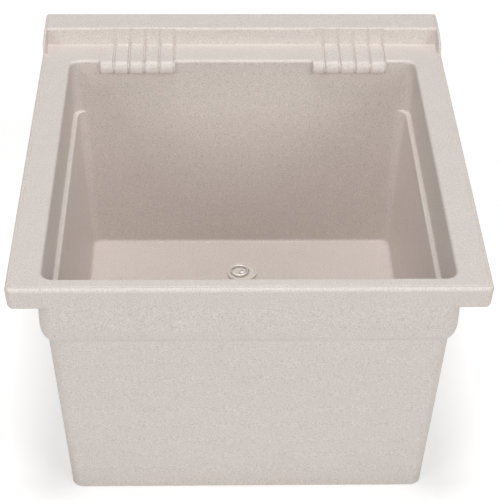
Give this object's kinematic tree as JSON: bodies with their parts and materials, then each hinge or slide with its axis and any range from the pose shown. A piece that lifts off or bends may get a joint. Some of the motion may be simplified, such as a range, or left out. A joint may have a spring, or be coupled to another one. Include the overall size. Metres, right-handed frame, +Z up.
{
  "type": "laundry tub",
  "caption": "Moulded laundry tub with overhanging rim, raised rear ledge, washboards, deep tapered bowl, drain outlet and lift-out stopper with pull ring.",
  "frame": {"origin": "on the ground, under the middle of the tub's overall box", "axes": "+Z up; +Y towards the rear ledge and the wall; +X to the right as the user faces the tub"},
  "size_m": [0.584, 0.64, 0.374],
  "materials": {
    "moulded_stone": "satin, finely speckled",
    "outlet_plastic": "satin",
    "gasket_rubber": "matte",
    "plain_steel": "brushed",
    "washer_plastic": "matte",
    "stopper_rubber": "matte",
    "bright_steel": "polished"
  },
  "bodies": {
    "tub": {"tub": "moulded_stone", "drain_outlet": "outlet_plastic", "outlet_gasket": "gasket_rubber", "strainer_plate": "plain_steel", "flange_screws": "plain_steel", "coupling_nut": "outlet_plastic", "slip_washer": "washer_plastic"},
    "stopper": {"stopper": "stopper_rubber", "ring_bracket": "bright_steel", "stopper_rivet": "bright_steel", "rivet_washer": "bright_steel"},
    "pull_ring": {"pull_ring": "bright_steel"}
  },
  "joints": [
    {"name": "stopper_lift", "type": "slide", "parent": "tub", "child": "stopper", "axis": [0, 0, 1], "range_m": [0, 0.345]},
    {"name": "ring_swing", "type": "hinge", "parent": "stopper", "child": "pull_ring", "pos_m": [0.0084, 0.11, 0.05095], "axis": [0, 1, 0], "range_deg": [0, 175]}
  ]
}
